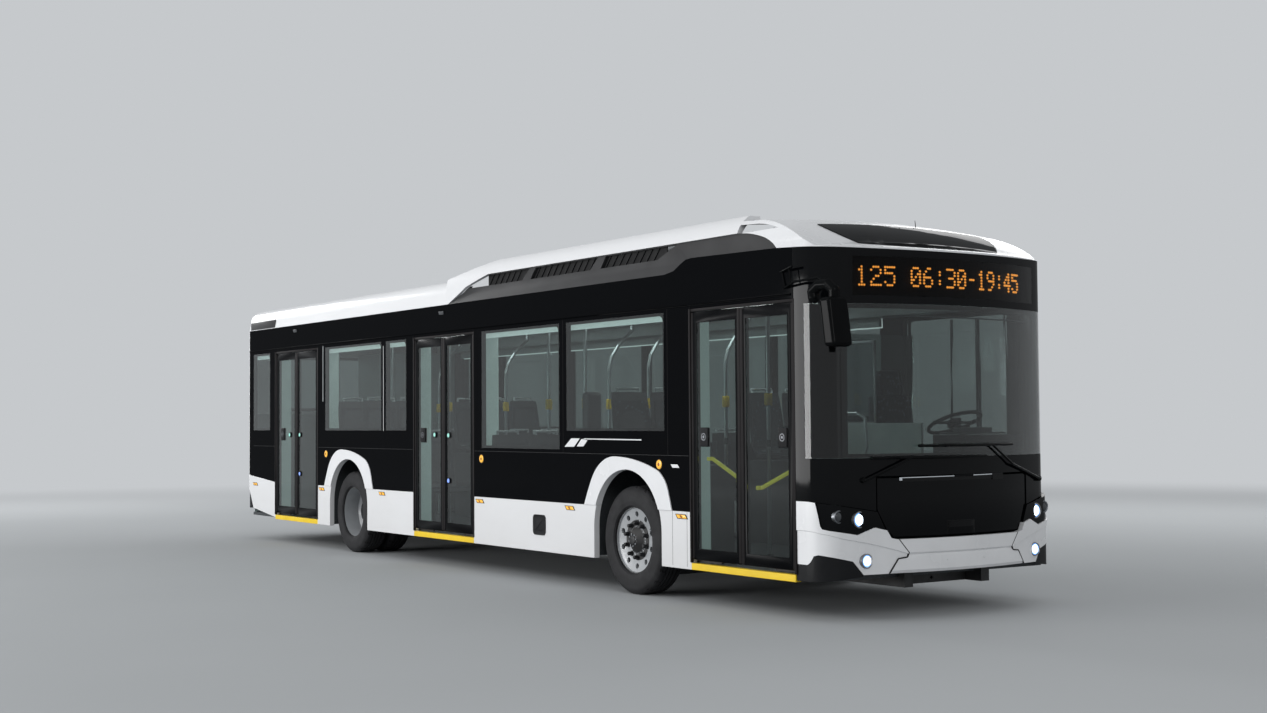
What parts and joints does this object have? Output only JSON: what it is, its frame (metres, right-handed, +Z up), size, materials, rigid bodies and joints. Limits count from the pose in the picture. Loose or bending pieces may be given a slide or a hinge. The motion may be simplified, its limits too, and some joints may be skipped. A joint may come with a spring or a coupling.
{
  "type": "city bus",
  "caption": "Low-floor single-deck city bus with inward-gliding double doors, a raised roof housing, steered front wheels and twin rear wheels.",
  "frame": {"origin": "on the road under the middle of the overall length and width", "axes": "+X forwards, +Y to the left, +Z up"},
  "size_m": [12.2801, 3.03, 3.1999],
  "materials": {
    "black_paint": "gloss",
    "white_paint": "gloss",
    "white_moulding": "gloss",
    "black_moulding": "satin",
    "black_gloss": "gloss",
    "tinted_glass": "clear tinted",
    "lamp_lens": "clear",
    "yellow_sill": "gloss",
    "floor_covering": "matte",
    "grey_lining": "satin",
    "seat_fabric": "woven",
    "pole_steel": "brushed",
    "tyre_rubber": "matte",
    "rim_aluminium": "satin",
    "axle_iron": "painted",
    "engine_iron": "painted",
    "roof_grp": "satin"
  },
  "bodies": {
    "root": {"side_wall_right": "black_paint", "side_wall_left": "black_paint", "cantrails": "black_paint", "skirt_panels": "white_paint", "arch_trims": "white_moulding", "door_sills": "yellow_sill", "floor_deck": "floor_covering", "roof_deck": "roof_grp", "roof_coves": "white_paint", "roof_fairings": "black_moulding", "front_cap": "white_moulding", "cap_inset": "black_gloss", "roof_units": "roof_grp", "front_mask": "black_gloss", "front_glass": "tinted_glass", "bumper_middle": "white_moulding", "bumper_corners": "white_moulding", "bumper_inlets": "black_moulding", "lamps": "lamp_lens", "side_windows": "tinted_glass", "rear_wall": "white_paint", "rear_bumper": "black_moulding", "passenger_seats": "seat_fabric", "grab_poles": "pole_steel", "ceiling_lining": "grey_lining", "engine_tower": "grey_lining", "engine_block": "engine_iron", "driver_partition": "grey_lining", "driver_seat": "seat_fabric", "dashboard": "black_moulding", "steering_wheel": "black_moulding", "chassis_frame": "axle_iron", "front_axle": "axle_iron", "rear_axle": "axle_iron", "mirrors": "black_moulding", "wipers": "black_moulding"},
    "front_flap": {"front_flap": "black_gloss"},
    "engine_hatch": {"engine_hatch": "black_paint"},
    "arm_rear_aft": {"door_arm_rear_aft": "pole_steel"},
    "leaf_rear_aft": {"door_leaf_rear_aft": "black_gloss"},
    "arm_rear_fore": {"door_arm_rear_fore": "pole_steel"},
    "leaf_rear_fore": {"door_leaf_rear_fore": "black_gloss"},
    "arm_middle_aft": {"door_arm_middle_aft": "pole_steel"},
    "leaf_middle_aft": {"door_leaf_middle_aft": "black_gloss"},
    "arm_middle_fore": {"door_arm_middle_fore": "pole_steel"},
    "leaf_middle_fore": {"door_leaf_middle_fore": "black_gloss"},
    "arm_front_aft": {"door_arm_front_aft": "pole_steel"},
    "leaf_front_aft": {"door_leaf_front_aft": "black_gloss"},
    "arm_front_fore": {"door_arm_front_fore": "pole_steel"},
    "leaf_front_fore": {"door_leaf_front_fore": "black_gloss"},
    "knuckle_right": {"knuckle_right": "axle_iron"},
    "wheel_front_right": {"tyre_front_right": "tyre_rubber", "rim_front_right": "rim_aluminium"},
    "wheels_rear_right": {"tyres_rear_right": "tyre_rubber", "rims_rear_right": "rim_aluminium"},
    "knuckle_left": {"knuckle_left": "axle_iron"},
    "wheel_front_left": {"tyre_front_left": "tyre_rubber", "rim_front_left": "rim_aluminium"},
    "wheels_rear_left": {"tyres_rear_left": "tyre_rubber", "rims_rear_left": "rim_aluminium"}
  },
  "joints": [
    {"name": "front_flap_hinge", "type": "hinge", "parent": "root", "child": "front_flap", "pos_m": [5.912, 0, 1.09], "axis": [0, -1, 0], "range_deg": [0, 80]},
    {"name": "engine_hatch_hinge", "type": "hinge", "parent": "root", "child": "engine_hatch", "pos_m": [-6.142, 0, 1.552], "axis": [0, 1, 0], "range_deg": [0, 85]},
    {"name": "door_rear_aft_post", "type": "hinge", "parent": "root", "child": "arm_rear_aft", "pos_m": [-5.195, -1.195, 0.345], "axis": [0, 0, 1], "range_deg": [0, 82]},
    {"name": "door_rear_aft_leaf", "type": "hinge", "parent": "arm_rear_aft", "child": "leaf_rear_aft", "pos_m": [-4.8555, -1.195, 0.345], "axis": [0, 0, 1], "range_deg": [-164, 0]},
    {"name": "door_rear_fore_post", "type": "hinge", "parent": "root", "child": "arm_rear_fore", "pos_m": [-3.785, -1.195, 0.345], "axis": [0, 0, -1], "range_deg": [0, 82]},
    {"name": "door_rear_fore_leaf", "type": "hinge", "parent": "arm_rear_fore", "child": "leaf_rear_fore", "pos_m": [-4.1245, -1.195, 0.345], "axis": [0, 0, -1], "range_deg": [-164, 0]},
    {"name": "door_middle_aft_post", "type": "hinge", "parent": "root", "child": "arm_middle_aft", "pos_m": [-1.155, -1.195, 0.345], "axis": [0, 0, 1], "range_deg": [0, 82]},
    {"name": "door_middle_aft_leaf", "type": "hinge", "parent": "arm_middle_aft", "child": "leaf_middle_aft", "pos_m": [-0.818, -1.195, 0.345], "axis": [0, 0, 1], "range_deg": [-164, 0]},
    {"name": "door_middle_fore_post", "type": "hinge", "parent": "root", "child": "arm_middle_fore", "pos_m": [0.245, -1.195, 0.345], "axis": [0, 0, -1], "range_deg": [0, 82]},
    {"name": "door_middle_fore_leaf", "type": "hinge", "parent": "arm_middle_fore", "child": "leaf_middle_fore", "pos_m": [-0.092, -1.195, 0.345], "axis": [0, 0, -1], "range_deg": [-164, 0]},
    {"name": "door_front_aft_post", "type": "hinge", "parent": "root", "child": "arm_front_aft", "pos_m": [4.01489, -1.195, 0.345], "axis": [0, 0, 1], "range_deg": [0, 82]},
    {"name": "door_front_aft_leaf", "type": "hinge", "parent": "arm_front_aft", "child": "leaf_front_aft", "pos_m": [4.34689, -1.195, 0.345], "axis": [0, 0, 1], "range_deg": [-164, 0]},
    {"name": "door_front_fore_post", "type": "hinge", "parent": "root", "child": "arm_front_fore", "pos_m": [5.39489, -1.195, 0.345], "axis": [0, 0, -1], "range_deg": [0, 82]},
    {"name": "door_front_fore_leaf", "type": "hinge", "parent": "arm_front_fore", "child": "leaf_front_fore", "pos_m": [5.06289, -1.195, 0.345], "axis": [0, 0, -1], "range_deg": [-164, 0]},
    {"name": "steering_right", "type": "hinge", "parent": "root", "child": "knuckle_right", "pos_m": [3.075, -0.9, 0.478], "axis": [0, 0, 1], "range_deg": [-42, 42]},
    {"name": "wheel_front_right_spin", "type": "hinge", "parent": "knuckle_right", "child": "wheel_front_right", "pos_m": [3.075, -1.093, 0.478], "axis": [0, 1, 0], "continuous": true},
    {"name": "wheels_rear_right_spin", "type": "hinge", "parent": "root", "child": "wheels_rear_right", "pos_m": [-2.875, -1.093, 0.478], "axis": [0, 1, 0], "continuous": true},
    {"name": "steering_left", "type": "hinge", "parent": "root", "child": "knuckle_left", "pos_m": [3.075, 0.9, 0.478], "axis": [0, 0, 1], "range_deg": [-42, 42]},
    {"name": "wheel_front_left_spin", "type": "hinge", "parent": "knuckle_left", "child": "wheel_front_left", "pos_m": [3.075, 1.093, 0.478], "axis": [0, 1, 0], "continuous": true},
    {"name": "wheels_rear_left_spin", "type": "hinge", "parent": "root", "child": "wheels_rear_left", "pos_m": [-2.875, 1.093, 0.478], "axis": [0, 1, 0], "continuous": true}
  ],
  "couplings": [
    {"joint": "door_rear_aft_leaf", "follows": "door_rear_aft_post", "ratio": -2},
    {"joint": "door_rear_fore_leaf", "follows": "door_rear_fore_post", "ratio": -2},
    {"joint": "door_middle_aft_leaf", "follows": "door_middle_aft_post", "ratio": -2},
    {"joint": "door_middle_fore_leaf", "follows": "door_middle_fore_post", "ratio": -2},
    {"joint": "door_front_aft_leaf", "follows": "door_front_aft_post", "ratio": -2},
    {"joint": "door_front_fore_leaf", "follows": "door_front_fore_post", "ratio": -2},
    {"joint": "steering_left", "follows": "steering_right", "ratio": 1}
  ]
}
